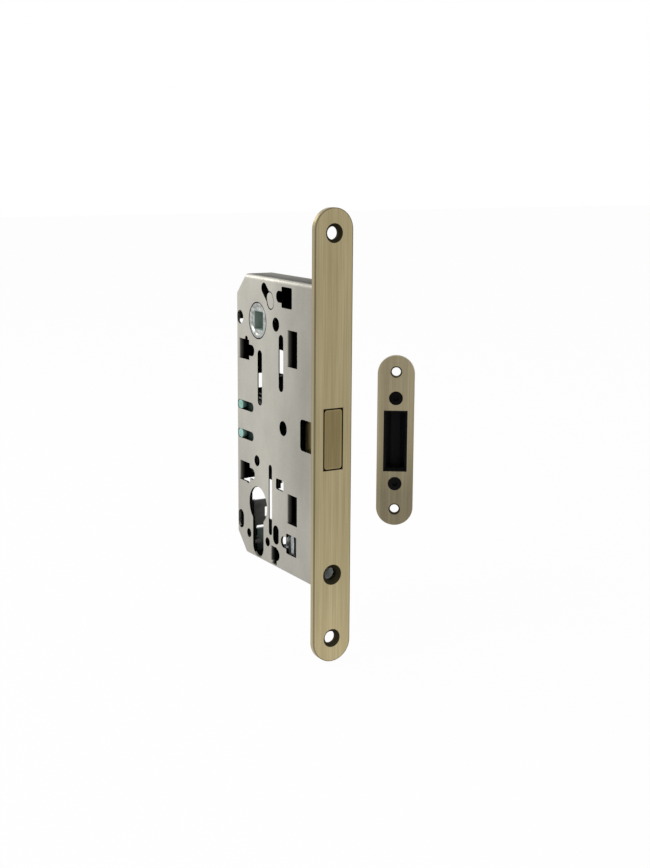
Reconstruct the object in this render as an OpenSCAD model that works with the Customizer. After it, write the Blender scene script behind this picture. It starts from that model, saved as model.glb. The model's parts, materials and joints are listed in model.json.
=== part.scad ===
// Mortise sashlock with a flush bolt that a magnet draws out, and its strike plate.
// Origin: centre of the faceplate's front face, midway between its two screw holes.
// -Y looks out of the door edge, +Y goes into the door, +Z is up, -X is the side with the openings.

/* [Faceplate] */
// Width of the faceplate
face_w = 18; // [16:0.5:24]
// Height of the faceplate, over its round ends
face_h = 196; // [180:1:240]
// Thickness of the faceplate
face_t = 3; // [2:0.25:4]
// Distance between the two wood screw holes
face_screw_span = 175; // [170:0.5:178]
// Diameter of the wood screw holes
face_screw_d = 5.5; // [4:0.1:6]
// Diameter of their countersinks at the front face
face_sink_d = 8.2; // [7:0.1:10]

/* [Case] */
// Distance from the spindle's axis to the case's rear edge
rear_reach = 21.5; // [20:0.5:29]
// Thickness of the case over both side plates
case_w = 14; // [13:0.25:16]
// Height of the case's top above the middle of the faceplate
case_top = 66; // [65:0.5:72]
// Depth of the case's bottom below the middle of the faceplate
case_bottom = 64.8; // [64.8:0.2:72]
// Thickness of the sheet metal
sheet_t = 1; // [0.8:0.1:1.2]
// Size of the two cut corners at the rear
case_corner = 8.8; // [6:0.2:10]
// Outer radius of the bends round the near plate
bend_r = 2; // [1.5:0.25:2.5]
// Width of the lips that the cover folds over the top and bottom
lip_w = 4.4; // [2:0.2:5]

/* [Follower] */
// Distance from the faceplate's front to the spindle's axis
backset = 55; // [54:0.5:58]
// Height of the spindle's axis above the middle of the faceplate
spindle_z = 46; // [45:0.5:47]
// Side of the square spindle hole
spindle_sq = 8; // [7:0.5:9]
// Diameter of the follower's two journals
hub_d = 16.7; // [15.5:0.1:17]
// Diameter of the follower's body inside the case
hub_body_d = 18; // [17.5:0.1:18.4]
// Width of the chamfer round the ends of the journals
hub_chamfer = 0.5; // [0.2:0.1:0.8]
// Thickness of the follower's arm and of the draw lever
lever_t = 3; // [2:0.25:3.5]
// Turn of the lever handle, in degrees
handle_turn = 40; // [30:1:42]

/* [Cylinder hole] */
// Distance between the spindle's axis and the cylinder's axis
centres = 85; // [84.5:0.25:85.5]
// Diameter of the round part of the profile hole
profile_d = 17.2; // [17:0.1:17.6]
// Width of the leg of the profile hole
profile_leg_w = 10.3; // [10:0.1:10.6]
// Depth of the leg below the cylinder's axis
profile_leg_h = 24.6; // [24.2:0.1:24.7]
// Distance from the cylinder's axis down to its fixing screw
fixing_drop = 19.8; // [19.5:0.1:20]
// Diameter of the fixing screw's bore
fixing_d = 5.6; // [5.2:0.1:6]
// Diameter of the sink round it in the faceplate
fixing_sink_d = 9.1; // [8:0.1:10]

/* [Bolt] */
// Height of the bolt's middle above the middle of the faceplate
bolt_z = 0.8; // [0.5:0.1:1]
// Width of the bolt
bolt_w = 8.5; // [8:0.1:9]
// Height of the bolt
bolt_h = 25.6; // [24:0.2:26]
// Length of the bolt's metal nose
nose_l = 16.5; // [15:0.5:17]
// Radius of the bolt's corners
bolt_corner = 1.2; // [0.5:0.1:2]
// Gap between the bolt and the edge of its opening
bolt_gap = 0.5; // [0.2:0.05:0.5]
// Travel of the bolt out of the faceplate
bolt_travel = 10; // [9:0.25:10]
// Width of the bolt's plastic slide
slide_w = 8; // [7.5:0.1:8.5]
// Height of the slide behind the nose
slide_h = 22; // [21:0.5:23]
// Height of the guide studs on the slide
stud_h = 4; // [3.6:0.1:4.1]
// Length of the guide studs on the slide
stud_l = 4.8; // [4.4:0.1:5]
// Distance between the upper and the lower guide studs
stud_span = 13.6; // [13:0.1:13.8]
// Drop of the middle of the slide below the middle of the bolt
slide_drop = 2.1; // [1.9:0.1:2.3]

/* [Posts, pins and screws] */
// Diameter of the posts between the side plates
post_d = 4.4; // [4:0.1:4.6]
// Diameter of the screws that hold the cover
post_screw_d = 2.4; // [2:0.1:2.8]
// Diameter of the heads of those screws
post_head_d = 4.6; // [4:0.1:5]
// Diameter of the stud that carries the draw lever
lever_stud_d = 4; // [3.6:0.1:4.1]
// Diameter of its thinner end in the lever's eye
lever_pin_d = 3; // [2.6:0.1:3.2]
// Diameter of the draw lever's eye
lever_eye_d = 7.4; // [6.6:0.2:7.6]
// Diameter of the pin of the deadlock lever
dead_pin_d = 2; // [1.8:0.1:2.2]
// Thickness of the guide round the locking bar
guide_wall = 0.9; // [0.7:0.1:1]

/* [Deadlock] */
// Turn of the deadlock lever, in degrees
deadlock_turn = 26; // [20:1:26]
// Width of the locking bar
bar_w = 3.7; // [3.3:0.1:3.9]
// Thickness of the locking bar
bar_t = 1.2; // [1:0.1:1.3]
// Thickness of the deadlock lever's walls
dead_wall_t = 1.5; // [1.2:0.1:1.8]

/* [Openings in the side plates] */
// Diameter of the holes for handle bolts
handle_hole_d = 6.2; // [5:0.1:6.6]
// Distance between the handle bolts, across the spindle
handle_hole_span = 34.2; // [33.5:0.1:34.5]
// Height of the long holes beside the cylinder
oval_h = 8.8; // [8:0.1:9.5]
// Width of the long holes beside the cylinder
oval_w = 5.6; // [5:0.1:6]
// Width of the upright slots
slot_w = 4.2; // [3.5:0.1:4.6]
// Height of the two upper upright slots
slot_h = 25.2; // [22:0.2:27]
// Height of the lower upright slot
low_slot_h = 32.7; // [30:0.2:34]
// Width of the lower upright slot
low_slot_w = 3.1; // [2.8:0.1:3.4]
// Side of the square part of the lobed holes
lobe_sq = 9.2; // [8.5:0.1:9.6]
// Diameter of their round lobe
lobe_d = 5.2; // [4.6:0.1:5.6]
// Distance from the middle of the square to the end of the lobe
lobe_reach = 9.5; // [9:0.1:10]
// Width of the two holes with a bent tab
tab_hole_w = 7.9; // [7:0.1:8.4]
// Height of the upper one
tab_hole_h = 16; // [14:0.5:17]
// Height of the lower one
low_tab_hole_h = 13.4; // [12:0.2:14]
// Depth of the bolt window in the side plates, from the faceplate's front
window_depth = 16; // [14:0.5:17]
// Height of the bolt window
window_h = 13.8; // [12:0.2:15]

/* [Strike plate] */
// Width of the strike plate
strike_w = 18; // [17:0.5:20]
// Height of the strike plate
strike_h = 84.5; // [82:0.5:90]
// Thickness of the strike plate
strike_t = 2.5; // [2:0.25:3]
// Distance between its wood screw holes
strike_screw_span = 68.4; // [67:0.2:69]
// Diameter of its wood screw holes
strike_screw_d = 4.4; // [3.5:0.1:4.6]
// Diameter of their countersinks
strike_sink_d = 5.8; // [5:0.1:6.2]
// Width of the opening for the bolt
mouth_w = 11.6; // [11:0.1:12]
// Height of the opening for the bolt
mouth_h = 30.4; // [29:0.2:31]
// Distance between the two housing screws
housing_screw_span = 42.6; // [42:0.1:43]
// Diameter of the heads of the housing screws
housing_screw_d = 6.8; // [6:0.1:7]
// Depth of the pocket behind the strike plate's face
pocket_depth = 13.5; // [12.5:0.5:15]
// Wall of the housing round the pocket
pocket_wall = 1; // [0.8:0.1:1.2]
// Turn of the strike plate about the upright axis, in degrees
strike_turn = -33.4; // [-45:0.2:0]
// Place of the middle of the strike plate's face
strike_x = 73; // [60:1:90]
// Depth of the middle of the strike plate's face
strike_y = 63; // [50:1:80]
// Height of the middle of the strike plate's face
strike_z = -18.5; // [-30:0.5:0]

/* [Springs] */
// Wire of the bolt's return spring
bolt_wire = 0.6; // [0.5:0.05:0.7]
// Outer diameter of the bolt's return spring
bolt_spring_d = 4.8; // [4.4:0.1:5]
// Curls of the bolt's return spring
bolt_curls = 9; // [7:1:10]
// Wire of the follower's return spring
hub_wire = 0.8; // [0.6:0.05:0.85]
// Curls of the follower's return spring
hub_curls = 2; // [1:1:2]
// Wire of the deadlock spring
dead_wire = 0.4; // [0.3:0.05:0.45]
// Curls of the deadlock spring
dead_curls = 2; // [1:1:2]

/* [Hidden] */
$fn = 48;

// Clearances: a running fit, a loose gap beside moving pieces, and the overrun of cuts
run_gap = 0.05;
loose = 0.3;
over = 1;

// Side plates and the space between them
case_depth = backset + rear_reach;
near_out = -case_w / 2;
near_in = near_out + sheet_t;
far_out = case_w / 2;
far_in = far_out - sheet_t;
front_in = face_t + sheet_t;
rear_in = case_depth - sheet_t;
top_in = case_top - sheet_t;
bottom_in = -case_bottom + sheet_t;

// Axes of the follower and of the cylinder
hub = [backset, spindle_z];
cylinder_axis = [backset, spindle_z - centres];
fixing_z = cylinder_axis.y - fixing_drop;
hub_hole_d = hub_d + 2 * run_gap;

// Bolt opening, guide studs and their slots
mouth_y = bolt_w + 2 * bolt_gap;
mouth_z = bolt_h + 2 * bolt_gap;
slide_z = bolt_z - slide_drop;
stud_gap = 0.15;
slot_rear = rear_in - 0.5;
stud_y = slot_rear - 0.5 - stud_l / 2;
slot_front = stud_y - stud_l / 2 - bolt_travel - 0.3;
slide_end = slot_rear - 0.1;
slide_top = slide_z + slide_h / 2;
slide_low = slide_z - slide_h / 2;

// Draw lever: it hangs below the follower, whose arm pushes its head forwards
lever_axis = [backset - 1, spindle_z - 27.6];
lever_ratio = 1.15;
lever_turn = lever_ratio * handle_turn;
lever_head_d = 3.6;
lever_head_r = 13.25;
lever_head_angle = 15;
lever_tip_r = bolt_travel / (2 * sin(lever_turn / 2));
lever_head = lever_axis + lever_head_r * [sin(lever_head_angle), cos(lever_head_angle)];
lever_tip = lever_axis - lever_tip_r * [sin(lever_turn / 2), cos(lever_turn / 2)];
lever_depth = lever_axis.y - lever_tip_r - lever_head_d / 2 - 0.6;
arm_r = 15.25;
arm_tip_d = 4;
arm_angle = 26;
arm_tip = hub + arm_r * [sin(arm_angle), -cos(arm_angle)];
recess_front = lever_tip.x - lever_head_d / 2 - loose;
recess_rear = lever_tip.x + 2 * bolt_travel + lever_head_d / 2 + loose;

// Channel of the bolt's return spring along the slide
channel_z = slide_z - 5.4;
channel_w = 5.6;
stop_front = 20;
stop_l = 4;
spring_rear = 46;

// Tongue of the guide block in the slide
tongue_w = 4;
tongue_l = 4;
tongue_h = 8;

// Deadlock lever behind the cylinder, and the locking bar that its lug lifts
dead_axis = [backset + 14, cylinder_axis.y - 17.8];
dead_eye_d = dead_pin_d + 1.8;
dead_front = backset + 9.6;
dead_top = cylinder_axis.y - 0.4;
dead_low = cylinder_axis.y - 12.5;
dead_half = 4;
dead_cheek_t = 1.4;
lug_r = 7;
lug_d = 2.2;
lug_lean = deadlock_turn / 2;
lug = dead_axis - lug_r * [cos(lug_lean), sin(lug_lean)];
bar_lift = 2 * lug_r * sin(lug_lean);
bar_x = near_in + 0.2;
bar_front = backset + 10.2;
bar_rest_top = slide_low - 0.6;
bar_shoulder = cylinder_axis.y + 5.8;
bar_shoulder_h = 1.5;
bar_post_t = lever_t;

// Places of the openings in the near plate: depth into the door, then height
tear_top = [backset - 6.2, spindle_z + 15];
tear_low = [backset - 11.6, spindle_z + 10];
tear_d = 5;
flap_hole = [tear_low + [0.2, 0.9], tear_low - [0.6, 0.8]];
flap_hole_d = 6.4;
flap_d = 5.4;
lobe_corner = 0.7;
lobed = [[backset - 26.9, spindle_z + 12.5, 1], [backset + 12.8, spindle_z - 14.3, -1],
  [backset + 12.7, cylinder_axis.y + 13.4, -1], [backset - 31.2, cylinder_axis.y - 11.7, 1]];
upper_slots = [[backset - 21.8, spindle_z - 16.6], [backset - 2, spindle_z - 25.7]];
low_slot = [backset - 11.8, cylinder_axis.y + 4.8];
tab_hole = [22.7, spindle_z - 9.2];
low_tab_hole = [22.7, cylinder_axis.y + 4.5];
small_tab_hole = [backset - 15.2, cylinder_axis.y - 20.2];
small_tab_size = [5.2, 8.3];
round_hole = [31.3, bolt_z];
round_hole_d = 6.7;
index_hole = [backset + 1, cylinder_axis.y + 20.6];
index_hole_d = 5.1;
square_hole = [backset - 20.6, cylinder_axis.y + 13.7];
square_hole_size = [7, 5];
tabs = [[tab_hole.x + tab_hole_w / 2, tab_hole.y - tab_hole_h / 2, tab_hole.y + tab_hole_h / 2],
  [low_tab_hole.x + tab_hole_w / 2, low_tab_hole.y - low_tab_hole_h / 2,
    low_tab_hole.y + low_tab_hole_h / 2],
  [lobed[1].x + lobe_sq / 2, lobed[1].y - lobe_sq / 2, lobed[1].y + lobe_sq / 2],
  [lobed[2].x + lobe_sq / 2, lobed[2].y - lobe_sq / 2, lobed[2].y + lobe_sq / 2]];
small_tab = [small_tab_hole.x + small_tab_size.x / 2, small_tab_hole.y - small_tab_size.y / 2,
  small_tab_hole.y + small_tab_size.y / 2];
peaks = [[lobed[1].x - 1.9, lobed[1].y + lobe_sq / 2 + 0.3],
  [lobed[2].x - 2.7, lobed[2].y - lobe_sq / 2 + 0.9]];
pilot_span = 18.2;
pilot_d = 4.2;
pilot_z = cylinder_axis.y - 15.3;
oval_z = cylinder_axis.y - 10.2;

// How far the upright slots widen rearwards at the back of the sheet
slot_relief = 1;

// Windows in the rear wall: their lowest and highest edge, and their two sides
rear_windows = [[spindle_z - 7, spindle_z - 1.3, near_in + 0.6, 0],
  [bolt_z + 10.9, bolt_z + 17.8, -0.6, far_in + over],
  [cylinder_axis.y + 2, cylinder_axis.y + 8.1, near_in + 2.4, far_in + over],
  [cylinder_axis.y - 17.6, cylinder_axis.y + 3, 0.6, far_in + over]];
cover_notch = [backset + 10, cylinder_axis.y - 11.4, cylinder_axis.y + 8.1];
cover_slot = [backset + 3.1, spindle_z - 19.9];
cover_slot_size = [7, 11];
cover_hole = [backset, cylinder_axis.y + 7.5];
cover_hole_size = [4, 6];
rim_cut = 2.3;

// Pillars that the cover is screwed to
posts = [[12, spindle_z + 13.5], [backset + 8.5, spindle_z + 14.8], [12, cylinder_axis.y + 17.5],
  [backset - 9.1, -case_bottom + 4.4]];
post_screw_l = 6;

// Where the cover's lips end, and how far the bent tabs reach in
lip_end = backset - 8;
tab_l = 2.6;
tab_r = 2.2;
small_tab_r = 1.5;
short_tab_l = 1.5;

// Magnets of the bolt and of the strike, and the strike's screws
magnet_w = 5;
magnet_h = 16;
magnet_l = 8;
magnet_front = 2;
block_t = 3;
shank_d = 3.4;

// Gap between the curls of the twist springs
spring_gap = 0.5;

// A flat outline drawn in depth and height, laid on a side plane that starts at x
module side(x) {
  translate([x, 0, 0])
    rotate([90, 0, 90])
      children();
}

// A bar of round section along the door's thickness, from x0 to x1
module cross_bar(place, d, x0, x1) {
  side(x0)
    translate(place)
      cylinder(d = d, h = x1 - x0);
}

// A flat slot with round ends between two places
module slot_2d(a, b, d) {
  run = b - a;
  translate(a)
    rotate(atan2(run.y, run.x)) {
      circle(d = d);
      translate([norm(run), 0])
        circle(d = d);
      translate([0, -d / 2])
        square([norm(run), d]);
    }
}

// A flat rectangle with round corners, centred
module round_box_2d(size, r) {
  square([size.x - 2 * r, size.y], center = true);
  square([size.x, size.y - 2 * r], center = true);
  for (sx = [-1, 1], sy = [-1, 1])
    translate([sx * (size.x / 2 - r), sy * (size.y / 2 - r)])
      circle(r = r);
}

// Corners of the case's side, moved inwards by inset
function case_outline(inset) =
  let (cut = case_corner - inset * (2 - sqrt(2)), front = face_t + inset,
    rear = case_depth - inset, top = case_top - inset, low = -case_bottom + inset)
  [[front, low], [rear - cut, low], [rear, low + cut], [rear, top - cut], [rear - cut, top],
    [front, top]];

// Solid of the case's side from x0 to x1, its outer edges at x0 rounded by r
module dished(inset, r, x0, x1) {
  outline = case_outline(inset);
  side(x0)
    difference() {
      linear_extrude(x1 - x0)
        polygon(outline);
      for (i = [0:4]) {
        run = outline[i + 1] - outline[i];
        translate(outline[i])
          rotate(atan2(run.y, run.x))
            translate([-2 * r, 0, 0])
              difference() {
                translate([0, -over, -over])
                  cube([norm(run) + 4 * r, over + r, over + r]);
                translate([-over, r, r])
                  rotate([0, 90, 0])
                    cylinder(r = r, h = norm(run) + 4 * r + 2 * over);
              }
      }
    }
}

// Square hole with a round lobe on one side
module lobed_2d(place, dir) {
  translate(place) {
    if (dir > 0)
      round_box_2d([lobe_sq, lobe_sq], lobe_corner);
    else
      square(lobe_sq, center = true);
    slot_2d([0, 0], [dir * (lobe_reach - lobe_d / 2), 0], lobe_d);
  }
}

// Hole for a profile cylinder
module profile_2d() {
  leg_end = cylinder_axis.y - profile_leg_h + profile_leg_w / 2;
  translate(cylinder_axis)
    circle(d = profile_d);
  slot_2d([cylinder_axis.x, cylinder_axis.y], [cylinder_axis.x, leg_end], profile_leg_w);
}

// Openings that go through both side plates alike
module shared_openings_2d() {
  translate(hub)
    circle(d = hub_hole_d);
  profile_2d();
  for (dir = [-1, 1]) {
    translate([hub.x + dir * handle_hole_span / 2, hub.y])
      circle(d = handle_hole_d);
    slot_2d([hub.x + dir * handle_hole_span / 2, oval_z - (oval_h - oval_w) / 2],
      [hub.x + dir * handle_hole_span / 2, oval_z + (oval_h - oval_w) / 2], oval_w);
    slot_2d([slot_front + stud_h / 2, slide_z + dir * stud_span / 2],
      [slot_rear - stud_h / 2 - stud_gap, slide_z + dir * stud_span / 2], stud_h + 2 * stud_gap);
  }
  translate([window_depth / 2, bolt_z])
    round_box_2d([window_depth, window_h], 1.8);
}

// The three upright slots of the near plate
module upright_slots_2d() {
  for (place = upper_slots)
    slot_2d(place - [0, (slot_h - slot_w) / 2], place + [0, (slot_h - slot_w) / 2], slot_w);
  slot_2d(low_slot - [0, (low_slot_h - low_slot_w) / 2],
    low_slot + [0, (low_slot_h - low_slot_w) / 2], low_slot_w);
}

// Openings of the near plate
module near_openings_2d() {
  shared_openings_2d();
  slot_2d(tear_top, tear_low, tear_d);
  slot_2d(flap_hole[0], flap_hole[1], flap_hole_d);
  for (hole = lobed)
    lobed_2d([hole.x, hole.y], hole[2]);
  for (place = peaks)
    translate(place)
      circle(d = 2.8);
  upright_slots_2d();
  translate(tab_hole)
    square([tab_hole_w, tab_hole_h], center = true);
  translate(low_tab_hole)
    square([tab_hole_w, low_tab_hole_h], center = true);
  translate(small_tab_hole)
    square(small_tab_size, center = true);
  slot_2d(small_tab_hole, small_tab_hole - [2.4, -0.9], 5.6);
  translate(round_hole)
    circle(d = round_hole_d);
  translate(index_hole)
    circle(d = index_hole_d);
  translate(square_hole)
    round_box_2d(square_hole_size, 1);
  for (dir = [-1, 1])
    translate([cylinder_axis.x + dir * pilot_span / 2, pilot_z])
      circle(d = pilot_d);
}

// Openings of the cover
module cover_openings_2d() {
  shared_openings_2d();
  translate(cover_slot)
    round_box_2d(cover_slot_size, 1);
  translate(cover_hole)
    round_box_2d(cover_hole_size, 1);
  translate([cover_notch.x, cover_notch.y])
    square([case_depth + over - cover_notch.x, cover_notch.z - cover_notch.y]);
  for (window = [rear_windows[1], rear_windows[3]])
    translate([case_depth - rim_cut, window[0]])
      square([rim_cut + over, window[1] - window[0]]);
  for (place = posts)
    translate(place)
      circle(d = post_screw_d + 2 * run_gap);
}

// Tab bent inwards from the edge of a hole, at depth y from height z0 to z1
module bent_tab(y, z0, z1, reach = tab_l) {
  translate([near_in - 0.2, y, z0])
    cube([reach + 0.2, sheet_t, z1 - z0]);
}

// Inner side of the rounded bend at the root of such a tab
module tab_fillet(y, z0, z1) {
  inner_r = tab_r - sheet_t;
  difference() {
    translate([near_in - 0.2, y + sheet_t - 0.2, z0])
      cube([inner_r + 0.2, inner_r + 0.2, z1 - z0]);
    translate([near_in + inner_r, y + tab_r, z0 - over])
      cylinder(r = inner_r, h = z1 - z0 + 2 * over);
  }
}

// What a rounded bend of radius r at the root of such a tab leaves out
module tab_bend(y, z0, z1, r) {
  difference() {
    translate([near_out - over, y - over, z0])
      cube([over + r, over + r, z1 - z0]);
    translate([near_out + r, y + r, z0 - over])
      cylinder(r = r, h = z1 - z0 + 2 * over);
  }
}

// Plate with round ends, its face at y = 0
module round_plate(w, h, t) {
  rotate([-90, 0, 0])
    linear_extrude(t) {
      for (dir = [-1, 1])
        translate([0, dir * (h / 2 - w / 2)])
          circle(d = w, $fn = 96);
      square([w, h - w], center = true);
    }
}

// Hole through a plate with a conical sink at its face, at height z
module sunk_hole(z, d, sink_d, t) {
  depth = (sink_d - d) / 2;
  translate([0, 0, z])
    rotate([-90, 0, 0]) {
      translate([0, 0, -over])
        cylinder(d = d, h = t + 2 * over);
      translate([0, 0, -0.01])
        cylinder(d1 = sink_d + 0.02, d2 = d, h = depth + 0.01);
    }
}

// Upright block with round corners seen from the front, from y0 to y1
module bolt_block(w, h, r, z, y0, y1) {
  translate([0, y0, z])
    rotate([-90, 0, 0])
      linear_extrude(y1 - y0)
        round_box_2d([w, h], r);
}

// Tube of round section along a path of points, each ring turned from its own outward direction
module wound(path, outward, wire) {
  n = len(path);
  last = n - 1;
  sides = 6;
  rings = [for (i = [0:last])
    let (step = path[min(i + 1, last)] - path[max(i - 1, 0)], t = step / norm(step), u = outward[i],
      v = cross(t, u))
    for (k = [0:sides - 1])
      path[i] + wire / 2 * (cos(60 * k) * u + sin(60 * k) * v)];
  walls = [for (i = [0:last - 1], k = [0:sides - 1])
    let (a = i * sides + k, b = i * sides + (k + 1) % sides)
    for (f = [[a, a + sides, b + sides], [a, b + sides, b]]) f];
  caps = [for (k = [1:sides - 2])
    for (f = [[0, k, k + 1], [last * sides, last * sides + k + 1, last * sides + k]]) f];
  polyhedron(points = rings, faces = concat(walls, caps));
}

// Twist spring round an axis along the thickness: a leg above, the curls, and a leg below
module twist_spring(axis, x0, r, wire, curls, leg_up, leg_down) {
  steps = curls * 8;
  pitch = wire + spring_gap;
  turns = [for (i = [0:steps]) -i * 45];
  curl = [for (a = turns)
    [x0 + wire / 2 - a / 360 * pitch, axis.x + r * cos(a), axis.y + r * sin(a)]];
  out = [for (a = turns) [0, cos(a), sin(a)]];
  first = curl[0];
  last = curl[steps];
  wound(concat([first + [0, 0, leg_up], first + [0, 0, wire]], curl,
    [last - [0, 0, wire], last - [0, 0, leg_down]]),
    concat([out[0], out[0]], out, [out[0], out[0]]), wire);
}

module faceplate() {
  color("darkkhaki")
    difference() {
      round_plate(face_w, face_h, face_t);
      for (dir = [-1, 1])
        sunk_hole(dir * face_screw_span / 2, face_screw_d, face_sink_d, face_t);
      sunk_hole(fixing_z, fixing_d, fixing_sink_d, face_t);
      bolt_block(mouth_y, mouth_z, bolt_corner, bolt_z, -over, face_t + over);
    }
}

module case_body() {
  lip_gap = 0.1;
  flap_drop = 0.12;
  lip_x = far_out - lip_w - lip_gap;
  color("silver") {
    difference() {
      dished(0, bend_r, near_out, far_in);
      dished(sheet_t, bend_r - sheet_t, near_in, far_in + over);
      side(near_out - over)
        linear_extrude(sheet_t + 2 * over)
          near_openings_2d();
      side(near_in - sheet_t / 2)
        linear_extrude(sheet_t)
          translate([slot_relief, 0])
            upright_slots_2d();
      for (window = rear_windows)
        translate([window[2], rear_in - over, window[0]])
          cube([window[3] - window[2], sheet_t + 2 * over, window[1] - window[0]]);
      for (z = [top_in - over, -case_bottom - over])
        translate([lip_x, face_t - over, z])
          cube([lip_w, lip_end - face_t + over + lip_gap, sheet_t + 2 * over]);
      bolt_block(mouth_y, mouth_z, bolt_corner, bolt_z, face_t - over, front_in + over);
      translate([0, face_t - over, fixing_z])
        rotate([-90, 0, 0])
          cylinder(d = fixing_d, h = sheet_t + 2 * over);
      for (tab = tabs)
        tab_bend(tab[0], tab[1], tab[2], tab_r);
      tab_bend(small_tab[0], small_tab[1], small_tab[2], small_tab_r);
    }
    for (tab = tabs)
      difference() {
        union() {
          bent_tab(tab[0], tab[1], tab[2]);
          tab_fillet(tab[0], tab[1], tab[2]);
        }
        tab_bend(tab[0], tab[1] - over, tab[2] + over, tab_r);
      }
    difference() {
      bent_tab(small_tab[0], small_tab[1], small_tab[2]);
      tab_bend(small_tab[0], small_tab[1] - over, small_tab[2] + over, small_tab_r);
    }
    bent_tab(square_hole.x + square_hole_size.x / 2, square_hole.y - square_hole_size.y / 2,
      square_hole.y + square_hole_size.y / 2, short_tab_l);
    side(near_out + flap_drop)
      linear_extrude(sheet_t)
        slot_2d(flap_hole[0], flap_hole[1], flap_d);
    side(near_in - sheet_t / 4)
      linear_extrude(sheet_t)
        slot_2d(flap_hole[1], flap_hole[1] - [4.5, 0], flap_d / 2);
  }
}

module case_cover() {
  color("silver")
    difference() {
      union() {
        side(far_in)
          linear_extrude(sheet_t)
            polygon(case_outline(0));
        for (z = [top_in, -case_bottom])
          translate([far_out - lip_w, face_t, z])
            cube([lip_w, lip_end - face_t, sheet_t]);
      }
      side(far_in - over)
        linear_extrude(sheet_t + 2 * over)
          cover_openings_2d();
    }
}

module cover_posts() {
  color("dimgray")
    for (place = posts)
      difference() {
        cross_bar(place, post_d, near_in, far_in);
        cross_bar(place, post_screw_d, far_in - post_screw_l, far_in + over);
      }
}

module cover_screws() {
  head_h = 0.8;
  color("gainsboro")
    for (place = posts) {
      cross_bar(place, post_screw_d, far_in - post_screw_l + 0.5, far_out);
      difference() {
        cross_bar(place, post_head_d, far_out, far_out + head_h);
        side(far_out + head_h - 0.5)
          translate([place.x, place.y, 0.5])
            for (turn = [0, 90])
              rotate(turn)
                cube([0.7, 2.8, 1], center = true);
      }
    }
}

module screw_block() {
  block_front = front_in;
  block_l = 30;
  block_top = cylinder_axis.y - 7.2;
  slit_first = 13;
  slit_step = 4.6;
  slit_size = [2.4, 2.2, 20];
  dimple = [27.4, 11.4];
  dimple_d = 7;
  dimple_depth = 2;
  groove_x = 3.5;
  groove_size = [5.4, 4];
  color("lightslategray")
    difference() {
      translate([near_in + 0.3, block_front, bottom_in])
        cube([case_w - 2 * sheet_t - 0.6, block_l, block_top - bottom_in]);
      translate([0, block_front - over, fixing_z])
        rotate([-90, 0, 0])
          cylinder(d = fixing_d, h = block_l + 2 * over);
      for (i = [0:2])
        translate([near_in - over, block_front + slit_first + slit_step * i, cylinder_axis.y - 17])
          cube([over + slit_size.x, slit_size.y, slit_size.z]);
      cross_bar([block_front + dimple.x, cylinder_axis.y - dimple.y], dimple_d, near_in - over,
        near_in + dimple_depth);
      translate([near_in, block_front - over, bottom_in - over])
        cube([bend_r, block_l + 2 * over, over + bend_r]);
      translate([near_in + groove_x, block_front - over, block_top - groove_size.y])
        cube([groove_size.x, block_l + 2 * over, groove_size.y + over]);
    }
}

module cylinder_rest() {
  rest_front = backset + 9.9;
  rest_t = 1.7;
  rest_w = 4.6;
  rest_top = cylinder_axis.y - 14.1;
  color("darkslategray")
    intersection() {
      translate([-rest_w / 2, rest_front, bottom_in - over])
        cube([rest_w, rest_t, rest_top - bottom_in + over]);
      side(near_in)
        linear_extrude(far_in - near_in)
          polygon(case_outline(sheet_t));
    }
}

module follower() {
  body = 2;
  dish_d = 13.4;
  dish_depth = 0.6;
  color("lightgray")
    difference() {
      union() {
        cross_bar(hub, hub_d, near_out + hub_chamfer, far_out - hub_chamfer);
        cross_bar(hub, hub_body_d, -body, body);
        side(near_out)
          translate(hub)
            cylinder(d1 = hub_d - 2 * hub_chamfer, d2 = hub_d, h = hub_chamfer);
        side(far_out - hub_chamfer)
          translate(hub)
            cylinder(d1 = hub_d, d2 = hub_d - 2 * hub_chamfer, h = hub_chamfer);
        side(-lever_t / 2)
          linear_extrude(lever_t)
            slot_2d(hub, arm_tip, arm_tip_d);
      }
      side(near_out - over)
        translate(hub)
          translate([-spindle_sq / 2, -spindle_sq / 2, 0])
            cube([spindle_sq, spindle_sq, case_w + 2 * over]);
      for (dir = [-1, 1])
        translate([dir * far_out, hub.x, hub.y])
          rotate([0, -90 * dir, 0])
            translate([0, 0, -0.01])
              cylinder(d1 = dish_d + 0.02, d2 = dish_d - 2 * dish_depth, h = dish_depth + 0.01);
    }
}

module follower_spring() {
  r = (hub_d / 2 + 0.1 + hub_wire / 2) / cos(22.5);
  leg_up = posts[1].y - post_d / 2 - hub.y - 0.1;
  color("silver")
    twist_spring(hub, near_in + 0.3, r, hub_wire, hub_curls, leg_up, 9);
}

module lever_stud() {
  head_t = 0.6;
  head_x = -lever_t / 2 - 0.1 - head_t;
  color("lightslategray") {
    cross_bar(lever_axis, lever_stud_d, lever_t / 2 + 0.1, far_in);
    cross_bar(lever_axis, lever_pin_d, head_x, far_in);
    cross_bar(lever_axis, lever_stud_d + 1, head_x, head_x + head_t);
  }
}

module draw_lever() {
  color("slategray")
    side(-lever_t / 2)
      linear_extrude(lever_t)
        difference() {
          union() {
            slot_2d(lever_axis, lever_head, lever_head_d);
            slot_2d(lever_axis, lever_tip, lever_head_d);
            translate(lever_axis)
              circle(d = lever_eye_d);
          }
          translate(lever_axis)
            circle(d = lever_pin_d + 2 * run_gap);
        }
}

module latch_bolt() {
  color("tan")
    difference() {
      bolt_block(bolt_w, bolt_h, bolt_corner, bolt_z, 0, nose_l);
      translate([-magnet_w / 2, magnet_front, bolt_z - magnet_h / 2])
        cube([magnet_w, nose_l, magnet_h]);
    }
}

module bolt_magnet() {
  color("gray")
    translate([-magnet_w / 2, magnet_front, bolt_z - magnet_h / 2])
      cube([magnet_w, magnet_l, magnet_h]);
}

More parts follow.
